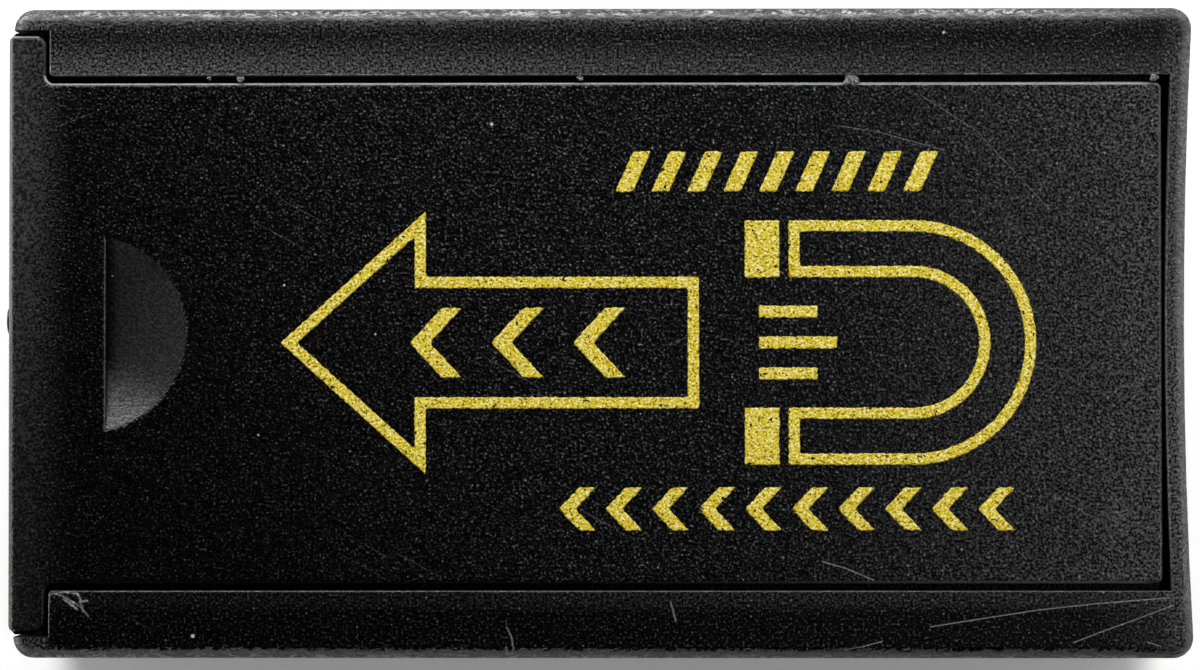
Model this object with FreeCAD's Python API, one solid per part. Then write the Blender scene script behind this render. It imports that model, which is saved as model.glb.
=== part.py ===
"""A magnetic key holder box: a moulded tray with two lipped rails, a lid that slides off its left end,
and a two-pole magnet riveted under the tray's floor.

Frame: millimetres, +Z up, +X along the box away from its open end, +Y towards the back rail.
The origin is the middle of the footprint, on the plane of the magnet's pole faces, which is what the
box rests on or sticks with.
"""

import FreeCAD
import Part

import math
import os

from FreeCAD import Vector

# --- Driving dimensions of the whole box ---------------------------------------------------------
LENGTH = 84.4           # front nub of the lid to the far end of the case
WIDTH = 46.2            # across the two side walls
HEIGHT = 20.0           # pole faces to the top of the rails
WALL = 1.5              # side walls, skirt and floor
MARGIN = 5.0            # how far a cutting tool runs past what it cuts

RIGHT_X = LENGTH / 2
HALF_Y = WIDTH / 2

# --- Case ----------------------------------------------------------------------------------------
CASE_LEFT_X = -41.64    # ends of the side walls, beside the lid's front
CASE_BOTTOM_Z = 0.4     # the poles stand proud of the skirt by this much
CORNER_R = 1.45         # upright corners
TOP_EDGE_R = 0.9        # outer top edges
BOTTOM_EDGE_R = 0.5     # outer bottom edges
END_WALL = 1.43         # far end wall
END_BOW_DEG = 3.1       # the far end wall has sunk inwards; this is its slope at the corners
INNER_HALF_Y = HALF_Y - WALL

FLOOR_UNDER_Z = 6.2     # underside of the tray's floor, on top of the magnet
FLOOR_TOP_Z = FLOOR_UNDER_Z + WALL
LEDGE_TOP_Z = 16.3      # the lid's flanges ride just above this
LEDGE_THICK = 1.2
LEDGE_WIDE = 1.2
LEDGE_LEFT_X = -40.0
RAIL_UNDER_Z = 18.3
RAIL_HALF_GAP = 18.3    # half of the opening between the rails
RAIL_LEFT_X = -39.04    # the rails stop short, to let the lid's wide front in
RAIL_CORNER_R = 0.3
RAIL_EDGE_R = 0.12

RIB = 1.0               # ribs of the hollow underside
RIB_SHORT = 0.6         # they stop this far above the skirt's edge
SIDE_RIB_X = (-28.8, -14.4, 0.0, 14.4, 28.8)
END_RIB_Y = (-12.96, -4.32, 4.32, 12.96)

# --- Magnet: a steel channel with two ferrite blocks ----------------------------------------------
CHANNEL_LONG = 56.0
CHANNEL_WIDE = 25.0
CHANNEL_THICK = 1.2
CHANNEL_BEND_R = 1.1
BLOCK_LONG = 23.0
BLOCK_GAP = 8.0         # between the two blocks, where the rivets sit
BLOCK_SIDE_PLAY = 0.2
BLOCK_CHAMFER = 0.35
BOND_THICK = 0.15
BOND_INSET = 0.6        # the glue film stops short of the block's edges
POCKET_PLAY = 0.15
POCKET_WALL = 1.2
CHANNEL_BASE_Z = FLOOR_UNDER_Z - CHANNEL_THICK
BLOCK_TOP_Z = CHANNEL_BASE_Z - BOND_THICK

# --- Rivets and washers --------------------------------------------------------------------------
RIVET_Y = 6.0
RIVET_R = 1.5
RIVET_HOLE_R = 1.6
RIVET_HEAD_R = 2.75
RIVET_HEAD_HIGH = 1.3
CLENCH_R = 2.3
CLENCH_HIGH = 0.8
CLENCH_DIMPLE_R = 1.0
CLENCH_DIMPLE_DEEP = 1.1
CLENCH_ROLL_R = 0.55    # how the end is rolled over, outside
CLENCH_MOUTH_R = 0.25   # and round the dimple
WASHER_R = 3.5
WASHER_THICK = 0.5
RECESS_R = 3.8
RECESS_DEEP = 0.7
RECESS_Z = FLOOR_TOP_Z - RECESS_DEEP
CLENCH_Z = RECESS_Z + WASHER_THICK

# --- Lid -----------------------------------------------------------------------------------------
LID_FRONT_X = -42.01
LID_RIGHT_X = 39.98
LID_TOP_Z = 19.85
LID_UNDER_Z = 16.45
LID_SKIN = 1.6
PANEL_HALF_Y = 17.8     # raised panel between the rails
FLANGE_HALF_Y = 21.2    # flanges under the rails, and the wide front
FLANGE_TOP_Z = 18.05
WEB = 1.4
SHOULDER_X = -39.33     # back of the wide front
SHOULDER_R = 0.55       # where the panel meets the wide front
SHOULDER_END_R = 0.75   # ends of the wide front, beside the rails
FRONT_CHAMFER = 0.35
LID_CORNER_R = 0.5
LID_EDGE_R = 0.3
LID_CROWN_X = -36.0     # the top starts to fall away here, towards the front
LID_CROWN_R = 90.0
LID_NOSE_R = 0.6
FRONT_PANEL = 1.6       # thickness of the panel that closes the open end
FRONT_PANEL_LOW_Z = FLOOR_TOP_Z + 0.25
CHEEK_HALF_Y = 21.45    # below its top, the front panel fills the opening more closely
CHEEK_TOP_Z = 18.8
CHEEK_CHAMFER = 0.42
GATE_R = 0.9            # moulding gate nub on the front face
GATE_Y = 0.9
GATE_Z = 17.9

SCOOP_WALL_X = -35.0    # steep wall that the thumb pushes on
SCOOP_CENTRE_X = -36.25
SCOOP_R = 7.1           # radius of the scoop's rim
SCOOP_DEEP = 1.2
SCOOP_LIP_R = 0.25
SCOOP_PAD_X = (-38.0, -27.6)
SCOOP_PAD_HALF_Y = 8.6
SCOOP_PAD_THICK = 1.3

# --- Detent that keeps the lid shut ---------------------------------------------------------------
DETENT_X = -34.0
DETENT_R = 0.9
DETENT_HIGH = 0.12      # bump on each ledge, under the 0.15 mm that the flange clears it by
DETENT_NOTCH_DEEP = 0.3


def box(x, y, z):
    """A box from three (low, high) pairs."""
    size = [high - low for low, high in (x, y, z)]
    return Part.makeBox(*size, Vector(x[0], y[0], z[0]))


def both_sides(shape):
    """The shape and its mirror image across the XZ plane."""
    return [shape, shape.mirror(Vector(0, 0, 0), Vector(0, 1, 0))]


def upright(radius, z, x=0.0, y=0.0):
    """A cylinder along Z from a (low, high) pair."""
    return Part.makeCylinder(radius, z[1] - z[0], Vector(x, y, z[0]))


def across(radius, y, x, z):
    """A cylinder along Y from a (low, high) pair."""
    return Part.makeCylinder(radius, y[1] - y[0], Vector(x, y[0], z), Vector(0, 1, 0))


def edges_of(shape, wanted):
    """The edges whose bounding box passes a test."""
    return [edge for edge in shape.Edges if wanted(edge.BoundBox)]


def level(bounds, z):
    """True where an edge lies flat at a height."""
    return abs(bounds.ZMin - z) < 1e-4 and abs(bounds.ZMax - z) < 1e-4


def upright_edges(shape, x, y):
    """The upright edges at X = x and Y = y or -y."""
    return edges_of(shape, lambda b: b.ZLength > 0.5 and b.XLength < 1e-4 and b.YLength < 1e-4
                    and abs(b.XMin - x) < 1e-3 and abs(abs(b.YMin) - y) < 1e-3)


def is_rail_lip(bounds):
    """True for the rails' upper edges along the opening and at their left ends."""
    in_y = max(abs(bounds.YMin), abs(bounds.YMax)) < INNER_HALF_Y + 1e-3
    in_x = RAIL_LEFT_X - 1.0 < bounds.XMin and bounds.XMax < RIGHT_X - 1.0
    return level(bounds, HEIGHT) and in_x and in_y


class EndBow:
    """The circle that the sunken far end wall's outer face follows, in plan."""

    slope = math.radians(END_BOW_DEG)
    half_chord = HALF_Y - CORNER_R - CORNER_R * math.sin(slope)
    join_x = RIGHT_X - CORNER_R + CORNER_R * math.cos(slope)
    radius = half_chord / math.sin(slope)
    centre_x = join_x + radius * math.cos(slope)
    middle_x = centre_x - radius


def case_outline():
    """The case's plan: four round corners, with the far end bowed inwards and tangent to its corners."""
    left, right, side, r = CASE_LEFT_X, RIGHT_X, HALF_Y, CORNER_R
    diagonal = r * (1 - math.sqrt(0.5))
    half_turn = (math.pi / 2 + EndBow.slope) / 2

    def turning(angle, sign):
        """A point on a right-hand corner arc, this far round from the long side."""
        return Vector(right - r + r * math.sin(angle), sign * (side - r + r * math.cos(angle)), 0)

    low, high = (EndBow.join_x, -EndBow.half_chord), (EndBow.join_x, EndBow.half_chord)
    return Part.Wire([
        Part.LineSegment(Vector(left + r, -side, 0), Vector(right - r, -side, 0)).toShape(),
        Part.Arc(Vector(right - r, -side, 0), turning(half_turn, -1), Vector(*low, 0)).toShape(),
        Part.Arc(Vector(*low, 0), Vector(EndBow.middle_x, 0, 0), Vector(*high, 0)).toShape(),
        Part.Arc(Vector(*high, 0), turning(half_turn, 1), Vector(right - r, side, 0)).toShape(),
        Part.LineSegment(Vector(right - r, side, 0), Vector(left + r, side, 0)).toShape(),
        Part.Arc(Vector(left + r, side, 0), Vector(left + diagonal, side - diagonal, 0),
                 Vector(left, side - r, 0)).toShape(),
        Part.LineSegment(Vector(left, side - r, 0), Vector(left, r - side, 0)).toShape(),
        Part.Arc(Vector(left, r - side, 0), Vector(left + diagonal, diagonal - side, 0),
                 Vector(left + r, -side, 0)).toShape(),
    ])


def hollow(left_x, half_y, z):
    """A space inside the case, from left_x to the inner face of the bowed end wall."""
    space = box((left_x, RIGHT_X + MARGIN), (-half_y, half_y), z)
    return space.cut(upright(EndBow.radius + END_WALL, z, EndBow.centre_x))


def case_shell():
    """The outer block with its rounded edges."""
    face = Part.Face(case_outline())
    face.translate(Vector(0, 0, CASE_BOTTOM_Z))
    block = face.extrude(Vector(0, 0, HEIGHT - CASE_BOTTOM_Z))
    block = block.makeFillet(TOP_EDGE_R, edges_of(block, lambda b: level(b, HEIGHT)))
    return block.makeFillet(BOTTOM_EDGE_R, edges_of(block, lambda b: level(b, CASE_BOTTOM_Z)))


def underside_ribs():
    """The frame round the magnet, and the ribs from it to the skirt."""
    z = (CASE_BOTTOM_Z, FLOOR_UNDER_Z)
    pocket_x = CHANNEL_LONG / 2 + POCKET_PLAY
    pocket_y = CHANNEL_WIDE / 2 + POCKET_PLAY
    frame_x, frame_y = pocket_x + POCKET_WALL, pocket_y + POCKET_WALL
    frame = box((-frame_x, frame_x), (-frame_y, frame_y), z)
    frame = frame.cut(box((-pocket_x, pocket_x), (-pocket_y, pocket_y), z))
    rib_z = (CASE_BOTTOM_Z + RIB_SHORT, FLOOR_UNDER_Z)
    ribs = []
    for x in SIDE_RIB_X:
        ribs += both_sides(box((x - RIB / 2, x + RIB / 2), (frame_y, INNER_HALF_Y), rib_z))
    for y in END_RIB_Y:
        ribs.append(box((CASE_LEFT_X + WALL, -frame_x), (y - RIB / 2, y + RIB / 2), rib_z))
        ribs.append(box((frame_x, EndBow.middle_x - END_WALL / 2), (y - RIB / 2, y + RIB / 2), rib_z))
    return [frame] + ribs


def ledge_with_bump():
    """One of the ledges that the lid's flanges ride on, with its detent bump."""
    y = (INNER_HALF_Y - LEDGE_WIDE, INNER_HALF_Y)
    ledge = box((LEDGE_LEFT_X, RIGHT_X - END_WALL), y, (LEDGE_TOP_Z - LEDGE_THICK, LEDGE_TOP_Z))
    ledge = ledge.common(hollow(LEDGE_LEFT_X, HALF_Y, (FLOOR_TOP_Z, HEIGHT)))
    bump = across(DETENT_R, y, DETENT_X, LEDGE_TOP_Z + DETENT_HIGH - DETENT_R)
    above_ledge = box((LEDGE_LEFT_X, 0), y, (LEDGE_TOP_Z - LEDGE_THICK / 2, HEIGHT))
    return ledge.fuse(bump.common(above_ledge))


def case_body():
    """The tray, its rails and ledges, its hollow ribbed underside and the pocket for the magnet."""
    body = case_shell()
    open_x = CASE_LEFT_X - MARGIN
    above = (RAIL_UNDER_Z, HEIGHT + MARGIN)
    body = body.cut(hollow(open_x, INNER_HALF_Y, (FLOOR_TOP_Z, RAIL_UNDER_Z)))
    body = body.cut(hollow(open_x, RAIL_HALF_GAP, above))
    body = body.cut(box((open_x, RAIL_LEFT_X), (-INNER_HALF_Y, INNER_HALF_Y), above))
    body = body.makeFillet(RAIL_CORNER_R, upright_edges(body, RAIL_LEFT_X, RAIL_HALF_GAP))
    body = body.makeFillet(RAIL_EDGE_R, edges_of(body, is_rail_lip))

    underside = (CASE_BOTTOM_Z - MARGIN, FLOOR_UNDER_Z)
    body = body.cut(hollow(CASE_LEFT_X + WALL, INNER_HALF_Y, underside))
    body = body.fuse(underside_ribs() + both_sides(ledge_with_bump()))
    for rivet_y in (-RIVET_Y, RIVET_Y):
        body = body.cut(upright(RIVET_HOLE_R, (0, HEIGHT), 0, rivet_y))
        body = body.cut(upright(RECESS_R, (RECESS_Z, HEIGHT), 0, rivet_y))
    return body.removeSplitter()


def lid_plan(z):
    """The lid's top in plan: the panel between the rails and the wide front, as one block."""
    panel = box((LID_FRONT_X, LID_RIGHT_X), (-PANEL_HALF_Y, PANEL_HALF_Y), z)
    front = box((LID_FRONT_X, SHOULDER_X), (-FLANGE_HALF_Y, FLANGE_HALF_Y), z)
    plan = panel.fuse(front).removeSplitter()
    plan = plan.makeFillet(LID_CORNER_R, upright_edges(plan, LID_RIGHT_X, PANEL_HALF_Y))
    plan = plan.makeFillet(SHOULDER_R, upright_edges(plan, SHOULDER_X, PANEL_HALF_Y))
    plan = plan.makeFillet(SHOULDER_END_R, upright_edges(plan, SHOULDER_X, FLANGE_HALF_Y))
    return plan.makeChamfer(FRONT_CHAMFER, upright_edges(plan, LID_FRONT_X, FLANGE_HALF_Y))


def lid_profile():
    """The lid seen from its side: flat top, crowned front with a rounded nose, and the front panel below."""
    nose_x = LID_FRONT_X + LID_NOSE_R
    reach = LID_CROWN_R - LID_NOSE_R
    lean = math.asin((LID_CROWN_X - nose_x) / reach)
    nose_z = LID_TOP_Z - LID_CROWN_R + reach * math.cos(lean)

    def on_crown(angle):
        return Vector(LID_CROWN_X - LID_CROWN_R * math.sin(angle), 0,
                      LID_TOP_Z - LID_CROWN_R + LID_CROWN_R * math.cos(angle))

    def on_nose(angle):
        return Vector(nose_x - LID_NOSE_R * math.sin(angle), 0, nose_z + LID_NOSE_R * math.cos(angle))

    back_x = LID_FRONT_X + FRONT_PANEL
    corners = [
        on_crown(0), Vector(LID_RIGHT_X, 0, LID_TOP_Z), Vector(LID_RIGHT_X, 0, LID_UNDER_Z),
        Vector(back_x, 0, LID_UNDER_Z), Vector(back_x, 0, FRONT_PANEL_LOW_Z),
        Vector(LID_FRONT_X, 0, FRONT_PANEL_LOW_Z), on_nose(math.pi / 2),
    ]
    lines = [Part.LineSegment(*ends).toShape() for ends in zip(corners, corners[1:])]
    nose = Part.Arc(on_nose(math.pi / 2), on_nose((lean + math.pi / 2) / 2), on_nose(lean)).toShape()
    crown = Part.Arc(on_crown(lean), on_crown(lean / 2), on_crown(0)).toShape()
    face = Part.Face(Part.Wire(lines + [nose, crown]))
    face.translate(Vector(0, -HALF_Y, 0))
    return face.extrude(Vector(0, WIDTH, 0))


def thumb_scoop():
    """What the scoop takes away: a shallow ball segment, cut off straight on its left."""
    ball_r = (SCOOP_R ** 2 + SCOOP_DEEP ** 2) / (2 * SCOOP_DEEP)
    ball = Part.makeSphere(ball_r, Vector(SCOOP_CENTRE_X, 0, LID_TOP_Z - SCOOP_DEEP + ball_r))
    right_of_wall = box((SCOOP_WALL_X, SCOOP_WALL_X + 3 * SCOOP_R), (-2 * SCOOP_R, 2 * SCOOP_R),
                        (LID_TOP_Z - 2 * SCOOP_DEEP, LID_TOP_Z + MARGIN))
    return ball.common(right_of_wall)


def sliding_lid():
    """The lid: raised panel, flanges that run under the rails, and a front panel for the open end."""
    lid = lid_plan((FRONT_PANEL_LOW_Z, HEIGHT)).common(lid_profile()).removeSplitter()
    top_rim = edges_of(lid, lambda b: level(b, LID_TOP_Z) and abs(b.XMax - LID_CROWN_X) + b.XLength > 1e-3)
    lid = lid.makeFillet(LID_EDGE_R, top_rim)

    skin_z = LID_TOP_Z - LID_SKIN
    inside_y = PANEL_HALF_Y - WEB
    lid = lid.cut(box((LID_FRONT_X + FRONT_PANEL, LID_RIGHT_X - WEB), (-inside_y, inside_y),
                      (LID_UNDER_Z - MARGIN, skin_z)))
    flange = box((LID_FRONT_X + FRONT_PANEL / 2, LID_RIGHT_X), (inside_y, FLANGE_HALF_Y),
                 (LID_UNDER_Z, FLANGE_TOP_Z))
    cheek = box((LID_FRONT_X, LID_FRONT_X + FRONT_PANEL), (inside_y, CHEEK_HALF_Y),
                (FRONT_PANEL_LOW_Z, CHEEK_TOP_Z))
    cheek = cheek.makeChamfer(CHEEK_CHAMFER, upright_edges(cheek, LID_FRONT_X, CHEEK_HALF_Y))
    pad = box(SCOOP_PAD_X, (-SCOOP_PAD_HALF_Y, SCOOP_PAD_HALF_Y), (skin_z - SCOOP_PAD_THICK, skin_z))
    gate = Part.makeCylinder(GATE_R, LID_FRONT_X + RIGHT_X, Vector(-RIGHT_X, GATE_Y, GATE_Z), Vector(1, 0, 0))
    lid = lid.fuse(both_sides(flange) + both_sides(cheek) + [pad, gate])

    lid = lid.cut(thumb_scoop())
    lip = edges_of(lid, lambda b: level(b, LID_TOP_Z) and b.XLength < 1e-4
                   and abs(b.XMin - SCOOP_WALL_X) < 1e-3)
    lid = lid.makeFillet(SCOOP_LIP_R, lip)
    notch = across(DETENT_R, (INNER_HALF_Y - 2 * LEDGE_WIDE, HALF_Y), DETENT_X,
                   LID_UNDER_Z + DETENT_NOTCH_DEEP - DETENT_R)
    return lid.cut(both_sides(notch)).removeSplitter()


def magnet_channel():
    """The steel channel: its base bears on the tray's floor and its two edges are the outer poles."""
    half_x, half_y = CHANNEL_LONG / 2, CHANNEL_WIDE / 2
    block = box((-half_x, half_x), (-half_y, half_y), (0, FLOOR_UNDER_Z))
    bends = edges_of(block, lambda b: level(b, FLOOR_UNDER_Z) and b.XLength > 1)
    block = block.makeFillet(CHANNEL_BEND_R, bends)
    trough_y = half_y - CHANNEL_THICK
    trough = box((-half_x - MARGIN, half_x + MARGIN), (-trough_y, trough_y), (-MARGIN, CHANNEL_BASE_Z))
    channel = block.cut(trough)
    for rivet_y in (-RIVET_Y, RIVET_Y):
        channel = channel.cut(upright(RIVET_HOLE_R, (0, HEIGHT), 0, rivet_y))
    return channel


def block_span(side):
    """The (low, high) X of a magnet block: side is -1 for the left one and 1 for the right one."""
    near, far = side * BLOCK_GAP / 2, side * (BLOCK_GAP / 2 + BLOCK_LONG)
    return min(near, far), max(near, far)


def magnet_block(side):
    """One ferrite block, with ground and broken edges."""
    half_y = CHANNEL_WIDE / 2 - CHANNEL_THICK - BLOCK_SIDE_PLAY
    block = box(block_span(side), (-half_y, half_y), (0, BLOCK_TOP_Z))
    return block.makeChamfer(BLOCK_CHAMFER, block.Edges)


def magnet_bond(side):
    """The glue film between a block and the channel."""
    low, high = block_span(side)
    half_y = CHANNEL_WIDE / 2 - CHANNEL_THICK - BLOCK_SIDE_PLAY - BOND_INSET
    film = box((low + BOND_INSET, high - BOND_INSET), (-half_y, half_y), (BLOCK_TOP_Z, CHANNEL_BASE_Z))
    return film.makeFillet(BOND_INSET, edges_of(film, lambda b: b.ZLength > BOND_THICK / 2))


def magnet_rivet(y):
    """A semi-tubular rivet: domed head under the channel, end rolled over the washer in the tray."""
    head_r = (RIVET_HEAD_R ** 2 + RIVET_HEAD_HIGH ** 2) / (2 * RIVET_HEAD_HIGH)
    head_z = (CHANNEL_BASE_Z - RIVET_HEAD_HIGH, CHANNEL_BASE_Z)
    ball = Part.makeSphere(head_r, Vector(0, y, head_z[0] + head_r))
    head = ball.common(upright(RIVET_HEAD_R, head_z, 0, y))
    shank = upright(RIVET_R, (CHANNEL_BASE_Z - RIVET_HEAD_HIGH / 2, CLENCH_Z + CLENCH_HIGH / 2), 0, y)
    clench = upright(CLENCH_R, (CLENCH_Z, CLENCH_Z + CLENCH_HIGH), 0, y)
    top = CLENCH_Z + CLENCH_HIGH
    clench = clench.makeFillet(CLENCH_ROLL_R, edges_of(clench, lambda b: level(b, top)))
    dimple = upright(CLENCH_DIMPLE_R, (top - CLENCH_DIMPLE_DEEP, top + MARGIN), 0, y)
    rivet = head.fuse([shank, clench]).cut(dimple).removeSplitter()
    mouth = edges_of(rivet, lambda b: level(b, top) and b.XLength < 2 * CLENCH_DIMPLE_R + 0.01)
    return rivet.makeFillet(CLENCH_MOUTH_R, mouth)


def rivet_washer(y):
    """The washer that spreads the rivet's clench over the plastic floor."""
    z = (RECESS_Z, RECESS_Z + WASHER_THICK)
    return upright(WASHER_R, z, 0, y).cut(upright(RIVET_HOLE_R, z, 0, y))


def build():
    """Every sub-part by its node's name."""
    return {
        "case_body": case_body(),
        "sliding_lid": sliding_lid(),
        "magnet_channel": magnet_channel(),
        "magnet_block_left": magnet_block(-1),
        "magnet_block_right": magnet_block(1),
        "magnet_bond_left": magnet_bond(-1),
        "magnet_bond_right": magnet_bond(1),
        "magnet_rivet_front": magnet_rivet(-RIVET_Y),
        "magnet_rivet_back": magnet_rivet(RIVET_Y),
        "rivet_washer_front": rivet_washer(-RIVET_Y),
        "rivet_washer_back": rivet_washer(RIVET_Y),
    }


def main():
    os.makedirs("parts", exist_ok=True)
    for node, shape in build().items():
        shape.exportStep("parts/" + node + ".step")
        print(f"{node}: {len(shape.Solids)} solid, {shape.Volume:.1f} mm3, valid {shape.isValid()}")


main()
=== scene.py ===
"""Looks of the magnetic key holder box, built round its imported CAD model.

Units are metres in the CAD frame: +X away from the end where the lid slides off, +Y towards the back rail,
+Z up, with the magnets' pole faces on the floor at Z = 0. Materials, the print and the tables of marks work
in millimetres of the same frame. North is +Y and south is -Y. Lightness is linear, and 1 is white.
"""

import math

import bmesh
import bpy
from mathutils import Euler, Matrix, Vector, noise
from mathutils.geometry import delaunay_2d_cdt


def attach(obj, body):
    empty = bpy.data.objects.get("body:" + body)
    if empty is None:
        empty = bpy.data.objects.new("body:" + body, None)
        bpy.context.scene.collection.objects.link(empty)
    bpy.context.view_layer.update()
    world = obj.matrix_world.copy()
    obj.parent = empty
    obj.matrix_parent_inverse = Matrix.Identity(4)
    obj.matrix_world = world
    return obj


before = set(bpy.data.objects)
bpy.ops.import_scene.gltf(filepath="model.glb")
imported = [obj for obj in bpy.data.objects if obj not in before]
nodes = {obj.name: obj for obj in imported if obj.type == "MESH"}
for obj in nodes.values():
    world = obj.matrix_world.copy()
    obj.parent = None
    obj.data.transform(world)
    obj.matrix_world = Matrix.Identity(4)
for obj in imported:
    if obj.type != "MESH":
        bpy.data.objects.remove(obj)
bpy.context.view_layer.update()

MM = 0.001
noise.seed_set(3)               # without a seed, noise_vector is another one on each run

# --- Places of the CAD model, in millimetres -------------------------------------------------------
LID_TOP = 19.85                 # the lid's flat
RAIL_TOP = 20.0                 # the two rails' flats
RAIL_GAP = 18.3                 # half of the opening between the rails
TOP_EDGE_R = 0.9                # radius of the case's outer top edges
INSIDE_Y, INSIDE_LEFT, INSIDE_RIGHT = 21.7, -41.0, 40.3      # the tray's inner faces
SCOOP_AT, SCOOP_R = (-36.25, 0.0), 7.1
SCOOP_WALL = -35.0              # X of the scoop's steep wall
CHAMBER_FLOOR = 7.7
CHANNEL_WEB = 5.0               # underside of the steel channel's web
CHANNEL_HALF_Y = 11.1           # half of the blocks' width
BLOCK_INNER_X, BLOCK_MIDDLE_X, BLOCK_HALF_X = 4.0, 15.5, 11.5
RIVET_Y = 6.0                   # the rivets stand at X = 0
EJECTOR_PINS = ((-30.0, -15.0), (-30.0, 15.0), (30.0, -15.0), (30.0, 15.0))

# --- The photograph's viewpoint --------------------------------------------------------------------
CAMERA_AT = Vector((4.33, -6.33, 320.0)) * MM
CAMERA_TURN = Euler((0.02055, 0.01395, -0.00043))
FOCAL_IN_WIDTHS = 4229.8 / 1200

# --- Light, in metres, where 1 is white ------------------------------------------------------------
WALL_LIGHT = 0.06
WALL_FADE = 0.05, 0.35          # upward part of the direction
CEILING_GLOW = 0.0005
FLOOR_SIZE, FLOOR_PALE, FLOOR_ROUGH = 8.0, 0.9, 0.9
FLOOR_GLOW_NEAR, FLOOR_GLOW_FAR = 0.10, 0.75
# the glow is left out in a band in front of the box, as wide as it, which shows as a painted shadow
FLOOR_GLOW_ASIDE, FLOOR_GLOW_BEHIND = 0.40, 0.12     # added off the box's ends and behind it
FAR_RANGE, ASIDE_RANGE, BEHIND_RANGE = (0.10, 0.70), (0.0390, 0.0425), (0.0, 0.02)   # where they set in
SOFTBOXES = (                   # name, middle, size and brightness
    ("north_softbox", (-0.02, 0.34, 0.21), (0.66, 0.30), 4.6),
    ("east_softbox", (0.36, 0.00, 0.15), (0.40, 0.20), 2.4),
    ("west_softbox", (-0.36, -0.05, 0.12), (0.34, 0.14), 4.0),
    ("overhead_panel", (0.25, 0.02, 0.36), (0.28, 0.30), 0.5),
)

# --- Ranges over which the black plastic's marks come and go, in millimetres -----------------------
UPPER_FACES = 18.9, 19.5        # heights
WHOLE_LENGTH = -40.0, 40.0
RAIL_LENGTH = -30.0, 40.0
FAR_END = 34.0, 41.0

# --- Handling marks, as open lines in the top view -------------------------------------------------
CASE_SCRATCHES = (
    ((23.6, -20.8), (27.4, -20.2), (31.3, -19.6), (35.5, -19.15), (40.4, -18.75)),
    ((33.7, -21.9), (35.9, -21.05), (38.3, -20.2), (40.6, -19.3)),
    ((17.5, -22.45), (18.8, -22.2), (20.1, -21.85)),
    ((38.9, -21.9), (39.8, -22.2)),
)
LID_DEEP_SCRATCH = ((15.9, -16.2), (17.6, -16.7), (19.5, -17.5))
LID_SCRATCHES = (
    ((17.2, 14.7), (20.0, 14.25), (24.6, 12.95)),
    ((22.9, 16.9), (26.8, 14.4), (32.1, 8.7)),
)
SCUFFS = ((26.4, 9.4, 0.5), (29.2, 7.6, 0.8), (36.8, -13.0, 1.6), (31.5, -12.2, 0.9))     # X, Y, radius
SPECKS = ((-7.55, 14.85, 0.10), (-28.75, -21.5, 0.11), (24.55, 21.3, 0.08), (-22.3, 3.4, 0.06))

# --- Flash left by the mould on the rails' inner edges ---------------------------------------------
CRUMBS = (                      # X, Y and size
    (-27.65, 18.16, 0.17),
    (-25.45, 18.10, 0.27),
    (-1.25, 18.14, 0.23),
    (18.0, 17.97, 0.47),
    (39.5, 18.10, 0.31),
)
CRUMB_Z = 19.86                 # middle of a crumb, which stays under the rails' tops
BURRS = (                       # strands that lie flat on the rail
    ((-39.0, -19.2), (-38.95, -18.6), (-38.6, -18.45), (-38.1, -18.62), (-37.4, -19.05), (-36.85, -19.35)),
    ((-38.6, -18.45), (-37.7, -18.38), (-37.0, -18.45), (-36.75, -18.9), (-36.72, -19.3)),
    ((-36.72, -19.3), (-36.55, -19.7), (-36.2, -20.05)),
    ((-37.9, -18.9), (-37.3, -19.35), (-37.0, -19.6)),
    ((-36.75, -19.1), (-36.3, -19.0)),
)
HAIRS = (
    ((-6.45, -20.9), (-6.15, -21.5), (-6.0, -22.3), (-6.1, -22.75), (-6.45, -22.75), (-6.5, -22.3)),
    ((5.15, -19.1), (5.3, -19.6), (5.5, -20.4)),
)

# --- Print on the lid ------------------------------------------------------------------------------
FILM_LOW, FILM_HIGH = LID_TOP - 0.005, LID_TOP + 0.030
PRINT_STEP = 0.11               # between the points of an outline
PRINT_FRAY, FRAY_PER_MM = 0.080, 4.2
PRINT_BEVEL = 0.09              # how far in the ink reaches its full thickness
PRINT_STROKE = 0.85
PRINT_MIDDLE = -0.7


# === Node tools ====================================================================================

class Tree:
    """A node tree under construction: short calls that add nodes and return their output sockets."""

    def __init__(self, tree):
        self.nodes, self.links = tree.nodes, tree.links

    def node(self, kind, inputs=(), **settings):
        made = self.nodes.new(kind)
        for key, value in settings.items():
            setattr(made, key, value)
        for key, value in dict(inputs).items():
            self.feed(made.inputs[key], value)
        return made

    def feed(self, socket, value):
        if isinstance(value, bpy.types.NodeSocket):
            self.links.new(value, socket)
        else:
            socket.default_value = value

    def parts(self, vector):
        return self.node("ShaderNodeSeparateXYZ", {0: vector}).outputs

    def math(self, operation, *values):
        return self.node("ShaderNodeMath", dict(enumerate(values)), operation=operation).outputs[0]

    def vector_math(self, operation, *values):
        return self.node("ShaderNodeVectorMath", dict(enumerate(values)), operation=operation).outputs

    def folded(self, operation, values):
        total = values[0]
        for value in values[1:]:
            total = self.math(operation, total, value)
        return total

    def total(self, *values):
        return self.folded("ADD", values)

    def product(self, *values):
        return self.folded("MULTIPLY", values)

    def most(self, *values):
        return self.folded("MAXIMUM", values)

    def without(self, value):
        return self.math("SUBTRACT", 1.0, value)

    def ramp(self, value, low, high, to_low=0.0, to_high=1.0):
        """Maps low..high smoothly to to_low..to_high, held at the ends."""
        inputs = {0: value, 1: low, 2: high, 3: to_low, 4: to_high}
        return self.node("ShaderNodeMapRange", inputs, interpolation_type="SMOOTHSTEP").outputs[0]

    def fall(self, value, low, high):
        """1 up to low and 0 from high on."""
        return self.ramp(value, low, high, 1.0, 0.0)

    def seen_directly(self):
        """1 for camera, mirror and transmission rays, else 0."""
        path = self.node("ShaderNodeLightPath").outputs
        return self.most(path["Is Camera Ray"], path["Is Glossy Ray"], path["Is Transmission Ray"])


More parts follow.
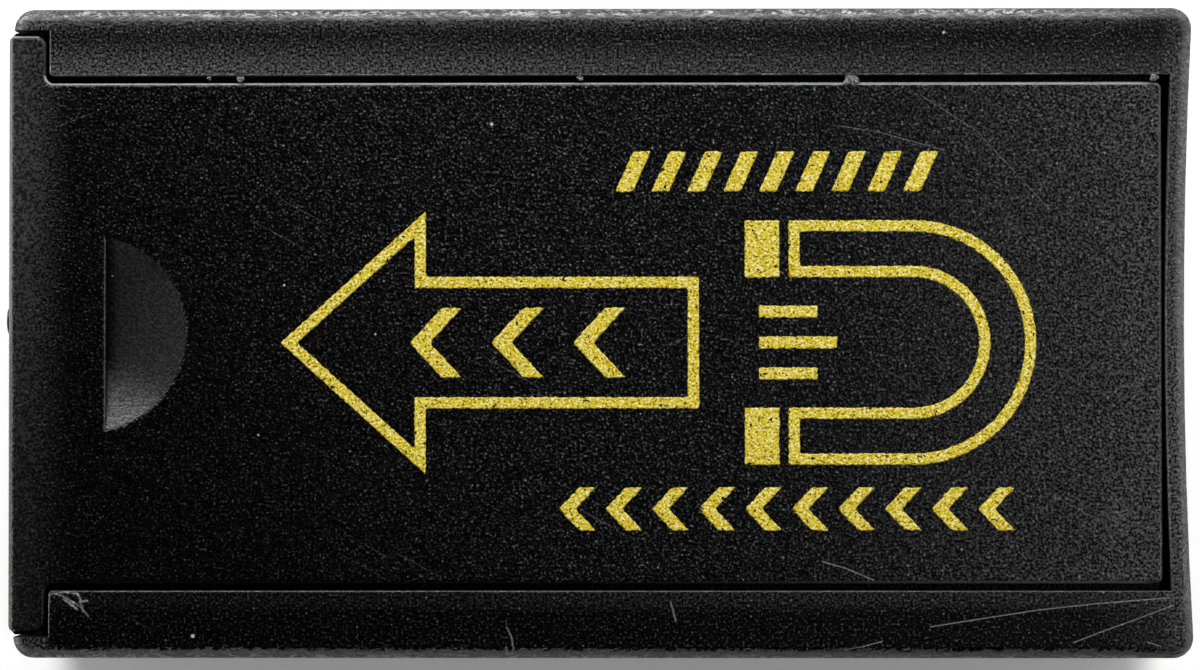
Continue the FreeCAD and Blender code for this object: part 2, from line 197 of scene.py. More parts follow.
class Look(Tree):
    """A material under construction.

    place is the point in millimetres, away its distance from the middle plane, and tilt the upward part of
    the normal. Ranges of x, y, z, away and tilt in the materials say where a mark comes or goes.
    """

    def __init__(self, name):
        self.material = bpy.data.materials.new(name)
        self.material.use_nodes = True
        super().__init__(self.material.node_tree)
        self.shader = self.nodes["Principled BSDF"]
        coordinates = self.node("ShaderNodeTexCoord")
        self.place = self.node("ShaderNodeVectorMath", {0: coordinates.outputs["Object"], "Scale": 1 / MM},
                               operation="SCALE").outputs[0]
        self.x, self.y, self.z = self.parts(self.place)
        self.tilt = self.parts(coordinates.outputs["Normal"])[2]
        self.away = self.math("ABSOLUTE", self.y)

    def stretched(self, x, y, z=1.0, turn=0.0):
        """The place divided by a length along each axis, in millimetres, of a frame turned about Z."""
        inputs = {"Vector": self.place, "Rotation": (0, 0, turn), "Scale": (x, y, z)}
        return self.node("ShaderNodeMapping", inputs, vector_type="TEXTURE").outputs[0]

    def noise(self, per_mm, detail=2.0, roughness=0.5, distortion=0.0, place=None):
        inputs = {"Vector": place or self.place, "Scale": per_mm, "Detail": detail, "Roughness": roughness,
                  "Distortion": distortion}
        return self.node("ShaderNodeTexNoise", inputs).outputs["Fac"]

    def vary(self, noise, to_low=0.0, to_high=1.0, span=0.2):
        """Maps a noise to to_low..to_high, over span on each side of its middle."""
        return self.ramp(noise, 0.5 - span, 0.5 + span, to_low, to_high)

    def creases(self, noise, width, on_them, beside):
        """One value along the winding lines where the noise is at its middle, and another beside them."""
        return self.ramp(self.math("ABSOLUTE", self.total(noise, -0.5)), 0.0, width, on_them, beside)

    def band(self, value, low, high, soft):
        """1 between low and high, fading to 0 over soft outside them."""
        return self.product(self.ramp(value, low - soft, low), self.fall(value, high, high + soft))

    def reach(self, x, y, from_x, from_y):
        """Distance from a point of the top view."""
        across = self.math("SUBTRACT", x, from_x)
        up = self.math("SUBTRACT", y, from_y)
        return self.math("SQRT", self.total(self.product(across, across), self.product(up, up)))

    def spot(self, x, y, radius, soft):
        """1 within radius of a point of the top view."""
        return self.fall(self.reach(self.x, self.y, x, y), radius, radius + soft)

    def line(self, start, end, width, soft=0.15):
        """1 along a straight mark of the top view."""
        start, end = Vector(start), Vector(end)
        way = (end - start).normalized()
        moved = self.vector_math("SUBTRACT", self.place, (*start, 0))[0]
        along = self.vector_math("DOT_PRODUCT", moved, (*way, 0))[1]
        aside = self.vector_math("DOT_PRODUCT", moved, (-way.y, way.x, 0))[1]
        return self.product(self.band(along, 0.0, (end - start).length, soft),
                            self.fall(self.math("ABSOLUTE", aside), 0.0, width))

    def lines(self, routes, width):
        return self.most(*[self.line(start, end, width)
                           for route in routes for start, end in zip(route, route[1:])])

    def mix_color(self, factor, first, second):
        """Mixes two colours, each a socket or red, green and blue."""
        made = self.node("ShaderNodeMix", {0: factor}, data_type="RGBA")
        for number, color in ((6, first), (7, second)):
            self.feed(made.inputs[number], (*color, 1) if isinstance(color, tuple) else color)
        return made.outputs[2]

    def bump(self, height, depth_mm, under=None, amount=1.0):
        inputs = {"Height": height, "Distance": depth_mm * MM, "Strength": amount}
        if under is not None:
            inputs["Normal"] = under
        return self.node("ShaderNodeBump", inputs).outputs[0]

    def set(self, **values):
        """Sets sockets of the shader; an underscore stands for a space."""
        for key, value in values.items():
            self.feed(self.shader.inputs[key.replace("_", " ")], value)


def dress(material, *objects):
    """Puts one material on whole objects."""
    for piece in objects:
        piece.data.materials.clear()
        piece.data.materials.append(material)


# === Black moulded plastic =========================================================================

def dust(look):
    """Pale specks, one here and there in cells of about 4 mm."""
    cells = look.node("ShaderNodeTexVoronoi", {"Vector": look.place, "Scale": 0.26})
    chosen = look.ramp(look.parts(cells.outputs["Color"])[0], 0.70, 0.72)
    return look.product(look.fall(cells.outputs["Distance"], 0.012, 0.026), chosen)


def hairlines(look):
    """Faint straight scratches of handling, in patches and in two directions."""
    patches = look.ramp(look.noise(0.10, detail=1.0), 0.52, 0.66)
    one = look.noise(1.0, detail=1.0, distortion=0.1, place=look.stretched(14.0, 0.16, turn=-0.5))
    other = look.noise(1.0, detail=1.0, distortion=0.1, place=look.stretched(9.0, 0.18, turn=0.35))
    return look.product(patches, look.most(look.ramp(one, 0.70, 0.77), look.ramp(other, 0.72, 0.79)))


def crumpled(look):
    """Wavy pattern of the edges' wear and painted highlight, a little longer than it is wide."""
    place = look.stretched(1.15, 0.75, 0.75)
    return look.noise(1.5, detail=3.0, roughness=0.62, distortion=1.4, place=place)


def rounded(look, flattest, crumple):
    """1 on the lid's rounded upper edges, up to where the upward part of the normal reaches flattest."""
    height = look.total(look.z, look.vary(crumple, -0.25, 0.25, span=0.15))
    return look.product(look.ramp(look.tilt, 0.10, 0.20), look.ramp(height, 18.95, 19.45),
                        look.fall(look.math("SUBTRACT", look.tilt, flattest), 0.0, 0.04))


def inwards(look, crumple):
    """Distance in from the outline on the case's rounded top edges, waving with the crumple."""
    flat = look.math("SQRT", look.without(look.product(look.tilt, look.tilt)))
    smooth = look.product(look.without(flat), TOP_EDGE_R)
    wave = look.total(look.vary(crumple, -0.2, 0.2, span=0.15), look.ramp(look.x, -25.0, 10.0, -0.10, 0.0))
    room = look.total(TOP_EDGE_R, look.product(smooth, -1.0), look.ramp(look.away, 21.6, 22.2, 0.0, 0.45))
    return look.total(smooth, look.product(wave, room))


def black_plastic(look, polished, relief, pale, glint, crumple, wear_and_sheen, marks, dull=0.0):
    """Spark-eroded grain, edges with wear and a painted highlight, painted glints, dust and scratches; the
    masks say where it differs.

    polished is 1 where the grain is smooth, relief scales its depth, and pale is added lightness, most of
    it painted light. glint scales the painted glints, bright points on the grain's peaks. crumple is the
    wavy pattern of the edges, and wear_and_sheen is their lightness: wear and a painted highlight. marks
    is 1 on a scratch and more on a deep one, and dull is added roughness.
    """
    coarse_per_mm, fine_per_mm, cloud_per_mm = 5.3, 11.0, 0.25
    crumple_depth, coarse_depth, fine_depth, scratch_depth = 0.30, 0.075, 0.010, -0.03
    darkest, cloud_pale, scratch_pale, speck_pale, glint_pale = 0.0002, 0.0004, 0.042, 0.45, 2.2

    edge = look.ramp(wear_and_sheen, 0.0, 0.02)
    crease = look.creases(crumple, 0.04, 0.15, 1.0)
    cloud = look.noise(cloud_per_mm, detail=3.0)
    coarse = look.noise(coarse_per_mm, detail=1.0)
    fine = look.noise(fine_per_mm, detail=1.0)
    top = look.ramp(look.z, 18.0, 19.0)
    specks = look.most(*[look.spot(x, y, radius, 0.04) for x, y, radius in SPECKS])
    speck = look.most(dust(look), look.product(top, specks))
    scuff = look.product(look.most(*[look.spot(x, y, radius * 0.3, radius) for x, y, radius in SCUFFS]),
                         look.ramp(look.noise(3.2, detail=3.0), 0.50, 0.62))
    scratch = look.product(top, look.most(marks, look.product(hairlines(look), 0.5),
                                          look.product(scuff, 0.7)))

    grain = look.without(look.most(polished, look.product(edge, 0.65)))
    # painted glints: bright points in the colour on the grain's peaks, scaled by glint
    peaks = look.product(look.math("POWER", coarse, 10.0), glint_pale, grain, glint)
    pits = look.total(1.0, look.product(grain, look.ramp(coarse, 0.36, 0.60, -0.98, 0.55)))
    # lightness of the edges: wear and a painted highlight of the rounded edges
    edge_wear_and_sheen = look.product(wear_and_sheen, crease, look.vary(crumple, 0.40, 1.6, span=0.16))
    lightness = look.total(darkest, look.vary(cloud, 0.0, cloud_pale), look.product(pale, pits), peaks,
                           edge_wear_and_sheen, look.product(scratch, scratch_pale), look.product(speck, speck_pale))
    coarse_amount = look.product(relief, look.total(0.12, look.product(grain, 0.88)))
    fine_amount = look.total(0.2, look.product(grain, 0.8))
    normal = look.bump(crumple, crumple_depth, amount=edge)
    normal = look.bump(coarse, coarse_depth, under=normal, amount=coarse_amount)
    normal = look.bump(fine, fine_depth, under=normal, amount=fine_amount)
    normal = look.bump(scratch, scratch_depth, under=normal, amount=0.6)
    rough = look.total(look.vary(look.noise(0.8, detail=3.0), 0.17, 0.22), look.product(polished, 0.04),
                       look.product(edge, 0.08), look.product(speck, 0.4), look.product(scratch, 0.1), dull)
    look.set(Base_Color=lightness, Roughness=rough, Normal=normal, Specular_IOR_Level=0.35)
    return look.material


def case_rims(look, inward, north, south):
    """Lightness of the outer edges, wear and a painted highlight, brighter in the north: cracked and blotchy
    there, plain in the south.
    """
    north_pale, south_pale, south_by_gap = 0.27, 0.185, 0.08
    crest = 0.46                # how far in the north rim is palest

    stain = look.noise(1.3, detail=2.0, place=look.stretched(1.5, 0.6, 0.6))
    blotch = look.total(1.0, look.product(look.ramp(inward, 0.35, 0.55),
                                          look.vary(stain, -0.55, 0.55, span=0.12)))
    web = look.noise(2.3, detail=2.0, distortion=1.3, place=look.stretched(1.4, 0.7, 0.7))
    crack = look.creases(web, 0.035, 0.25, 1.0)
    # north rim: wear and a painted highlight across the rounded edge, brightest at crest
    north_rim = look.product(north, look.ramp(inward, 0.16, crest, 0.015, 1.0),
                             look.fall(inward, crest, 0.90))
    south_rim = look.product(south, look.fall(inward, 0.22, 0.72), look.ramp(look.x, 0.0, 30.0, 1.0, 0.75))
    rims = look.total(look.product(north_rim, crack, blotch, north_pale),
                      look.product(south_rim, look.ramp(look.away, 18.6, 19.0, south_by_gap, south_pale)))
    return look.product(rims, look.ramp(look.z, 18.95, 19.15), look.ramp(look.tilt, 0.0, 0.1),
                        look.ramp(look.x, *FAR_END, 1.0, 0.22), look.ramp(look.x, -39.6, -37.0, 0.75, 1.0))


def case_plastic():
    """The case: edges with wear and a painted highlight, lips with a painted sheen, strands, hairs and
    scratches on the rails, a smooth inside.
    """
    burr_width, scratch_width, hair_width = 0.12, 0.08, 0.09
    burr_pale, scratch_depth, hair_depth = 0.30, 1.9, 2.5

    # The parts of the case: the far wall's top, the corners at the left, the rails' inner lips, the slots
    # beside the lid's wide front and the tray's inner faces.
    look = Look("case_plastic")
    on_top = look.ramp(look.z, *UPPER_FACES)
    north = look.ramp(look.y, -1.0, 1.0)
    south = look.without(north)
    end = look.product(look.ramp(look.x, 39.6, 41.0), on_top)
    corner = look.product(look.fall(look.x, -39.3, -38.8), on_top, look.ramp(look.tilt, 0.1, 0.4))
    north_lip = look.product(north, look.fall(look.away, RAIL_GAP, 21.2), on_top)
    south_lip = look.product(south, look.fall(look.away, 18.9, 20.0), on_top)
    slot = look.product(look.fall(look.x, -38.6, -38.4), look.fall(look.away, 21.8, 21.9),
                        look.fall(look.tilt, 0.1, 0.4))
    inside = look.product(look.fall(look.away, INSIDE_Y, INSIDE_Y + 0.1),
                          look.ramp(look.x, INSIDE_LEFT - 0.1, INSIDE_LEFT),
                          look.fall(look.x, INSIDE_RIGHT, INSIDE_RIGHT + 0.1),
                          look.fall(look.z, 18.2, 18.3))
    polished = look.most(look.product(north_lip, 0.1), look.product(inside, 0.9))
    relief = look.ramp(look.y, -18.0, -10.0, 0.45, 1.0)

    # Painted light and wear: lightness added to the grain of each part.
    # painted light on the rails' tops: the north rail paler towards the left, the south rail paler at the
    # far end
    rail = look.total(look.product(north, look.ramp(look.x, *WHOLE_LENGTH, 0.008, 0.0)),
                      look.product(south, look.ramp(look.x, *FAR_END, 0.0, 0.012)))
    # painted sheen along the rails' inner lips, brighter on the north lip
    lip_sheen = look.total(look.product(north_lip, look.ramp(look.x, *RAIL_LENGTH, 0.048, 0.024)),
                     look.product(south_lip, look.ramp(look.x, *RAIL_LENGTH, 0.004, 0.014)))
    # painted highlight on the north rail towards its outer edge, weaker at the far end
    north_edge_sheen = look.product(north, on_top, look.ramp(look.away, 21.2, 22.6, 0.0, 0.035),
                          look.ramp(look.x, *FAR_END, 1.0, 0.2))
    corners = look.product(corner, look.total(look.product(north, 0.022), look.product(south, 0.024)))
    pale = look.total(look.product(on_top, rail), lip_sheen, north_edge_sheen, look.product(inside, 0.002),
                      look.product(end, 0.020), corners)
    # painted glints, stronger in the north than in the south
    glint = look.total(look.product(north, 0.8),
                       look.product(south, look.ramp(look.x, *WHOLE_LENGTH, 0.42, 0.70)))

    # Rims with wear and a painted highlight, and single marks.
    crumple = crumpled(look)
    inward = inwards(look, crumple)
    strand = look.product(look.lines(BURRS, burr_width),
                          look.ramp(look.noise(2.2, detail=2.0), 0.36, 0.56, 0.25, 1.0), on_top)
    wear_and_sheen = look.most(case_rims(look, inward, north, south), look.product(strand, burr_pale))
    outermost = look.product(look.fall(inward, 0.05, 0.30), on_top)
    marks = look.most(look.product(look.lines(CASE_SCRATCHES, scratch_width), scratch_depth),
                      look.product(look.lines(HAIRS, hair_width), hair_depth))
    return black_plastic(look, polished, relief, pale, glint, crumple, wear_and_sheen, marks,
                         dull=look.most(look.product(slot, 0.7), look.product(outermost, 0.4)))


def lid_plastic():
    """The lid: paler towards both ends with a painted sheen, smoother in the scoop and below, edges with
    wear and a painted highlight, and scratches.
    """
    scratch_width, deep_width, deep_depth = 0.06, 0.08, 2.2
    # lightness of the painted shade and the painted light in the scoop
    scoop_shaded, scoop_lit = 0.020, 0.105
    # wear and a painted highlight of the edges, left and right; the north edge far brighter
    north_wear_sheen, south_wear_sheen = (0.275, 0.17), (0.003, 0.060)     # lightness of the edges, left and right

    # The parts of the lid: the scoop's round outline, its floor, and what is under the rails.
    look = Look("lid_plastic")
    basin = look.product(look.spot(*SCOOP_AT, SCOOP_R, 0.08),
                         look.ramp(look.x, SCOOP_WALL - 0.35, SCOOP_WALL - 0.3))
    scoop = look.product(basin, look.fall(look.z, LID_TOP - 0.06, LID_TOP - 0.03))
    below = look.fall(look.z, 18.0, 18.4)
    polished = look.most(look.product(scoop, 0.55), look.product(below, 0.6),
                         look.ramp(look.x, -41.0, -38.5, 0.35, 0.0))

    # Painted light: lightness that grows towards the right end, towards the nose and down the scoop's floor,
    # and painted shade beside the scoop's wall.
    # painted sheen, growing towards the right end
    rightward_sheen = look.product(look.total(look.ramp(look.x, 8.0, 48.0, 0.0, 0.028),
                                        look.ramp(look.x, 33.0, 40.0, 0.0, 0.009)),
                             look.vary(look.noise(1.5), 0.8, 1.15))
    # painted sheen at the nose, more on the north side
    nose = look.total(look.ramp(look.x, -41.95, -41.6, 0.030, 0.0),
                      look.product(look.ramp(look.x, -41.6, -37.2, 0.026, 0.0),
                                   look.total(0.35, look.ramp(look.y, -18.0, 18.0)),
                                   look.vary(look.noise(2.8, detail=2.0), 0.8, 1.2)))
    slanting = look.total(look.y, look.product(look.total(look.x, -SCOOP_WALL), 0.5))
    # painted light and shade in the scoop: lighter towards its south end and its wall, darker towards the
    # north, and a painted shadow in a band beside the wall above its south end
    hollow = look.product(look.ramp(slanting, -6.8, -0.8, scoop_lit, scoop_shaded),
                          look.ramp(look.x, SCOOP_WALL - 0.05, SCOOP_WALL + 0.15),
                          look.most(look.ramp(look.x, SCOOP_WALL + 0.1, SCOOP_WALL + 1.0, 0.30, 1.0),
                                    look.fall(look.y, -3.2, -1.8)))
    pale = look.total(look.product(look.ramp(look.z, 18.9, 19.4), look.total(rightward_sheen, nose)),
                      look.product(scoop, hollow))
    # painted glints, weaker towards the left and the south
    glint = look.product(look.ramp(look.total(look.x, look.product(look.y, 0.6)), -40.0, 4.0, 0.24, 1.0),
                         look.ramp(look.x, 0.0, 30.0, 1.0, 0.8))

    # Edges with wear and a painted highlight, far brighter in the north, less at the nose, beside the rails'
    # ends and at the far end.
    crumple = look.vary(crumpled(look), 0.525, 0.67)
    shoulder = look.product(look.ramp(look.away, 18.25, 18.4), look.band(look.x, -39.8, -38.9, 0.05))
    along = look.product(look.ramp(look.x, -41.9, -41.3, 0.25, 1.0),
                         look.ramp(shoulder, 0.0, 1.0, 1.0, 0.15),
                         look.ramp(look.x, 38.2, 39.4, 1.0, 0.15))
    north_edge = look.product(look.ramp(look.y, -2.0, 2.0), look.ramp(look.x, -10.0, 25.0, *north_wear_sheen))
    south_edge = look.product(look.fall(look.y, -2.0, 2.0), look.ramp(look.x, -6.0, 40.0, *south_wear_sheen))
    edge_wear_and_sheen = look.total(north_edge, south_edge)
    upper_edges = rounded(look, look.ramp(look.x, 0.0, 20.0, 0.80, 0.92), crumple)
    wear_and_sheen = look.product(upper_edges, look.without(basin), along, edge_wear_and_sheen)
    marks = look.most(look.lines(LID_SCRATCHES, scratch_width),
                      look.product(look.lines([LID_DEEP_SCRATCH], deep_width), deep_depth))
    return black_plastic(look, polished, 1.0, pale, glint, crumple, wear_and_sheen, marks)


# === Other materials ===============================================================================

def print_ink():
    """Yellow ink: thin in the grain's pits and at its edges, painted glints on the peaks, with pinholes."""
    in_pits, plain, glint_on_peaks = (0.15, 0.10, 0.002), (0.78, 0.59, 0.020), (1.0, 0.97, 0.46)
    mottled, at_edges, bare = (0.46, 0.38, 0.040), (0.20, 0.14, 0.006), (0.006, 0.005, 0.003)

    look = Look("print_ink")
    grain = look.noise(6.0, detail=1.5, roughness=0.6)
    mottle = look.noise(1.6, detail=3.0, distortion=0.4)
    pinhole = look.ramp(look.noise(2.2, detail=3.0, roughness=0.6), 0.635, 0.66)
    yellow = look.mix_color(look.ramp(grain, 0.31, 0.46), in_pits, plain)
    # painted glints: near-white on the grain's peaks
    yellow = look.mix_color(look.ramp(grain, 0.51, 0.66), yellow, glint_on_peaks)
    yellow = look.mix_color(look.vary(mottle, 0.0, 0.15, span=0.15), yellow, mottled)
    yellow = look.mix_color(look.ramp(look.z, LID_TOP, FILM_HIGH - 0.002), at_edges, yellow)
    look.set(Base_Color=look.mix_color(pinhole, yellow, bare),
             Roughness=look.vary(mottle, 0.34, 0.50), Specular_IOR_Level=0.3,
             Normal=look.bump(look.noise(11.0), 0.010, under=look.bump(grain, 0.07)))
    return look.material


def zinc_steel():
    """Zinc-plated rolled sheet: faint spangle, rolling lines and scratches."""
    bluish, yellowish, bright = (0.56, 0.59, 0.66), (0.66, 0.64, 0.57), (0.78, 0.79, 0.80)

    look = Look("zinc_steel")
    spangle = look.node("ShaderNodeTexVoronoi", {"Vector": look.place, "Scale": 0.5}, feature="SMOOTH_F1")
    crystal = look.parts(spangle.outputs["Color"])[0]
    rolling = look.noise(1.0, detail=3.0, place=look.stretched(16.0, 0.2, 0.2))
    scratch = look.ramp(look.noise(1.0, detail=1.0, place=look.stretched(6.0, 0.12, turn=0.6)), 0.68, 0.74)
    tint = look.mix_color(look.vary(look.noise(0.18, detail=3.0), span=0.15), bluish, yellowish)
    color = look.mix_color(look.ramp(crystal, 0.0, 1.0, 0.0, 0.35), tint, bright)
    rough = look.total(look.ramp(crystal, 0.0, 1.0, 0.24, 0.34), look.vary(rolling, -0.03, 0.06),
                       look.product(scratch, 0.12))
    normal = look.bump(look.noise(0.9), 0.012)
    normal = look.bump(rolling, 0.004, under=normal)
    normal = look.bump(scratch, -0.01, under=normal)
    look.set(Base_Color=color, Metallic=1.0, Roughness=rough, Normal=normal)
    return look.material


def ferrite():
    """Sintered ceramic magnet: pole faces ground in lines, raw sides, chipped corners."""
    look = Look("ferrite")
    ground = look.fall(look.tilt, -0.95, -0.85)
    lines = look.noise(1.0, detail=2.0, place=look.stretched(0.16, 14.0, turn=0.04))
    swirl = look.noise(1.0, detail=2.0, place=look.stretched(5.0, 0.35, turn=0.5))
    off_middle = look.math("ABSOLUTE", look.math("SUBTRACT", look.math("ABSOLUTE", look.x), BLOCK_MIDDLE_X))
    rim = look.most(look.ramp(look.product(off_middle, 1 / BLOCK_HALF_X), 0.93, 1.0),
                    look.ramp(look.away, CHANNEL_HALF_Y - 0.8, CHANNEL_HALF_Y))
    chip = look.product(rim, look.ramp(look.noise(0.7, detail=3.0), 0.52, 0.60))
    sinter = look.noise(3.0, detail=4.0, roughness=0.65)
    stain = look.noise(0.22, detail=4.0, roughness=0.6, distortion=0.6)
    rub = look.product(ground, look.ramp(swirl, 0.62, 0.72))
    polish = look.total(look.vary(lines, 0.0, 0.030), look.vary(stain, -0.012, 0.022, span=0.15))
    lightness = look.total(look.vary(sinter, 0.022, 0.042), look.product(ground, polish),
                           look.product(rub, 0.035), look.product(chip, -0.018))
    normal = look.bump(lines, 0.012, amount=ground)
    normal = look.bump(sinter, 0.05, under=normal, amount=look.ramp(ground, 0.0, 1.0, 1.0, 0.35))
    normal = look.bump(chip, -0.25, under=normal)
    look.set(Base_Color=lightness, Specular_IOR_Level=0.7, Normal=normal,
             Roughness=look.total(0.62, look.product(ground, look.vary(lines, -0.34, -0.18)),
                                  look.product(chip, 0.15)))
    return look.material


def glue():
    """Cured amber epoxy with bubbles."""
    deep, thin, bubbly = (0.46, 0.30, 0.10), (0.60, 0.44, 0.19), (0.80, 0.70, 0.45)

    look = Look("glue")
    cloud = look.noise(0.8, detail=3.0)
    bubbles = look.node("ShaderNodeTexVoronoi", {"Vector": look.place, "Scale": 1.6}).outputs["Distance"]
    bubble = look.fall(bubbles, 0.06, 0.16)
    amber = look.mix_color(look.vary(cloud, span=0.15), deep, thin)
    look.set(Base_Color=look.mix_color(look.product(bubble, 0.6), amber, bubbly),
             Roughness=look.vary(cloud, 0.16, 0.28), Coat_Weight=0.3, Coat_Roughness=0.08,
             Normal=look.bump(bubble, -0.05, under=look.bump(cloud, 0.15)))
    return look.material


def rivet_alloy():
    """Aluminium rivets: rings of the forming die round each, dulled by handling."""
    dark, bright = (0.70, 0.71, 0.72), (0.83, 0.83, 0.84)
    ring_waves, ring_wobble = 26.0, 0.08

    look = Look("rivet_alloy")
    radius = look.reach(look.x, look.away, 0.0, RIVET_Y)
    wobbling = look.total(radius, look.product(look.noise(1.2), ring_wobble))
    rings = look.math("SINE", look.product(wobbling, ring_waves))
    dull = look.noise(1.1, detail=3.0)
    nicks = look.ramp(look.noise(2.2, detail=2.0, distortion=1.0), 0.62, 0.70)
    look.set(Base_Color=look.mix_color(look.vary(dull, span=0.15), dark, bright), Metallic=1.0,
             Roughness=look.total(look.vary(dull, 0.26, 0.42), look.product(nicks, 0.1)),
             Normal=look.bump(nicks, -0.03, under=look.bump(rings, 0.004)))
    return look.material


def torn_flash():
    """Thin flash torn from the mould edge, pale along its folds."""
    look = Look("torn_flash")
    torn = look.noise(2.6, detail=4.0, distortion=1.6)
    look.set(Base_Color=look.creases(torn, 0.09, 0.32, 0.05), Roughness=look.vary(torn, 0.3, 0.5),
             Normal=look.bump(torn, 0.12))
    return look.material


# === Extra pieces ==================================================================================

def as_piece(mesh, name, material, body, smooth=False):
    """Turns a bmesh in millimetres into an object that rides on a body."""
    bmesh.ops.scale(mesh, vec=(MM, MM, MM), verts=mesh.verts)
    bmesh.ops.recalc_face_normals(mesh, faces=mesh.faces)
    data = bpy.data.meshes.new(name)
    mesh.to_mesh(data)
    mesh.free()
    data.polygons.foreach_set("use_smooth", [smooth] * len(data.polygons))
    piece = bpy.data.objects.new(name, data)
    bpy.context.scene.collection.objects.link(piece)
    dress(material, piece)
    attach(piece, body)
    return piece


def quads_between(mesh, rings, closed):
    """Faces between each ring of vertices and the next, and between the last and the first where closed."""
    following = rings[1:] + rings[:1] if closed else rings[1:]
    for one, two in zip(rings, following):
        for i in range(len(one)):
            j = (i + 1) % len(one)
            mesh.faces.new((one[i], one[j], two[j], two[i]))


def walked(corners, step):
    """Points about every step along the lines from each corner to the next, without the last corner."""
    points = []
    for start, end in zip(corners, corners[1:]):
        count = max(1, round((end - start).length / step))
        points += [start.lerp(end, i / count) for i in range(count)]
    return points


def with_neighbours(points):
    """Each point of a closed outline between the one before and the one after it."""
    return zip(points[-1:] + points[:-1], points, points[1:] + points[:1])


def softened(corners):
    """An outline as points, with its corners rounded."""
    points = walked(corners + corners[:1], PRINT_STEP)
    for _ in range(2):
        points = [(before + 2 * here + after) / 4 for before, here, after in with_neighbours(points)]
    return points


def frayed(points):
    """The points moved as where the edge of a print catches on the grain."""
    return [point + PRINT_FRAY * noise.noise_vector((point * FRAY_PER_MM).to_3d()).to_2d()
            for point in points]


def inset(corners, by):
    """The outline moved inwards; its corners run anticlockwise."""
    moved = []
    for before, here, after in with_neighbours(corners):
        first, second = (here - before).normalized(), (after - here).normalized()
        first, second = Vector((-first.y, first.x)), Vector((-second.y, second.x))
        moved.append(here + (first + second) * by / (1 + first.dot(second)))
    return moved


def arc(middle, radius, start, end, count):
    """Points of an arc; angles in degrees."""
    angles = [math.radians(start + (end - start) * i / count) for i in range(count + 1)]
    return [Vector((middle[0] + radius * math.cos(angle), middle[1] + radius * math.sin(angle)))
            for angle in angles]


def filled(rings):
    """The triangles inside an outline and outside its hole, as numbers of points through the rings."""
    points = [point for ring in rings for point in ring]
    numbers = iter(range(len(points)))
    faces = [[next(numbers) for _ in ring] for ring in rings]
    only_inside, nearness = 1, 1e-6
    _, _, triangles, sources, _, owners = delaunay_2d_cdt(points, [], faces, only_inside, nearness)
    return [[sources[i][0] for i in corners] for corners, within in zip(triangles, owners) if within == [0]]


def film(name, shapes):
    """Islands of ink on the lid with sloped edges; each shape is an outline and at most one hole in it.

    Both run anticlockwise. The lower side is just under the lid's surface, and the upper one is narrower.
    """
    mesh = bmesh.new()
    for outlines in shapes:
        outlines = [softened(outline) for outline in outlines]
        crests = [inset(outline, by) for outline, by in zip(outlines, (PRINT_BEVEL, -PRINT_BEVEL))]
        triangles = filled(outlines)
        sides = []
        for rings, z in ((outlines, FILM_LOW), (crests, FILM_HIGH)):
            verts = [mesh.verts.new((*point, z)) for ring in rings for point in frayed(ring)]
            for corners in triangles:
                mesh.faces.new([verts[i] for i in corners])
            sides.append(verts)
        low, high = sides
        first = 0
        for outline in outlines:
            last = first + len(outline)
            quads_between(mesh, [low[first:last], high[first:last]], closed=False)
            first = last
    return as_piece(mesh, name, INK, "lid")


def outlined(corners):
    """An outline drawn as a stroke."""
    return [corners, inset(corners, PRINT_STROKE)]


def polygon(*corners):
    return [Vector(corner) for corner in corners]


def box_corners(left, right, low, high):
    return polygon((left, low), (right, low), (right, high), (left, high))


def chevron(tip_x, middle_y, half_height, depth, thick):
    """A bold angle that points towards -X."""
    back = tip_x + depth
    low, high = middle_y - half_height, middle_y + half_height
    return polygon((tip_x, middle_y), (back, low), (back + thick, low), (tip_x + thick, middle_y),
                   (back + thick, high), (back, high))


def print_arrow():
    """A block arrow that points the way the lid slides, with three angles in its shaft."""
    tip, head, tail = -22.6, -12.2, 7.2
    wing, shaft = 9.4, 4.7
    half_height, depth, thick = 2.5, 2.3, 1.5
    corners = ((tip, 0.0), (head, -wing), (head, -shaft), (tail, -shaft), (tail, shaft), (head, shaft),
               (head, wing))
    arrow = polygon(*[(x, PRINT_MIDDLE + y) for x, y in corners])
    angles = [[chevron(x, PRINT_MIDDLE, half_height, depth, thick)] for x in (-13.4, -7.6, -1.8)]
    film("print_arrow", [outlined(arrow)] + angles)


def print_magnet():
    """A horseshoe magnet with solid poles and dashes between them."""
    bend_x, outer, inner = 22.4, 8.7, 4.6
    pole_left, pole_right, leg_left = 10.4, 12.9, 13.5
    dash_left, dash_right, dash_half, dash_pitch = 11.4, 15.6, 0.45, 2.2
    middle_dash_longer = 1.4
    middle = (bend_x, PRINT_MIDDLE)
    legs = polygon((leg_left, PRINT_MIDDLE - outer)) + arc(middle, outer, -90, 90, 40)
    legs += polygon((leg_left, PRINT_MIDDLE + outer), (leg_left, PRINT_MIDDLE + inner))
    legs += arc(middle, inner, 90, -90, 28) + polygon((leg_left, PRINT_MIDDLE - inner))
    poles = []
    for side in (-1, 1):
        low, high = sorted((PRINT_MIDDLE + side * inner, PRINT_MIDDLE + side * outer))
        poles.append([box_corners(pole_left, pole_right, low, high)])
    dashes = []
    for y, longer in ((PRINT_MIDDLE - dash_pitch, 0.0), (PRINT_MIDDLE, middle_dash_longer),
                      (PRINT_MIDDLE + dash_pitch, 0.0)):
        dashes.append([box_corners(dash_left, dash_right + longer, y - dash_half, y + dash_half)])
    film("print_magnet", [outlined(legs)] + poles + dashes)


def print_stripes():
    """A row of slanted bars."""
    low, high, lean, width, first, pitch, count = 10.0, 12.9, 1.3, 1.3, 1.2, 2.55, 9
    bars = []
    for i in range(count):
        left = first + i * pitch
        right = left + width
        bars.append([polygon((left, low), (right, low), (right + lean, high), (left + lean, high))])
    film("print_stripes", bars)


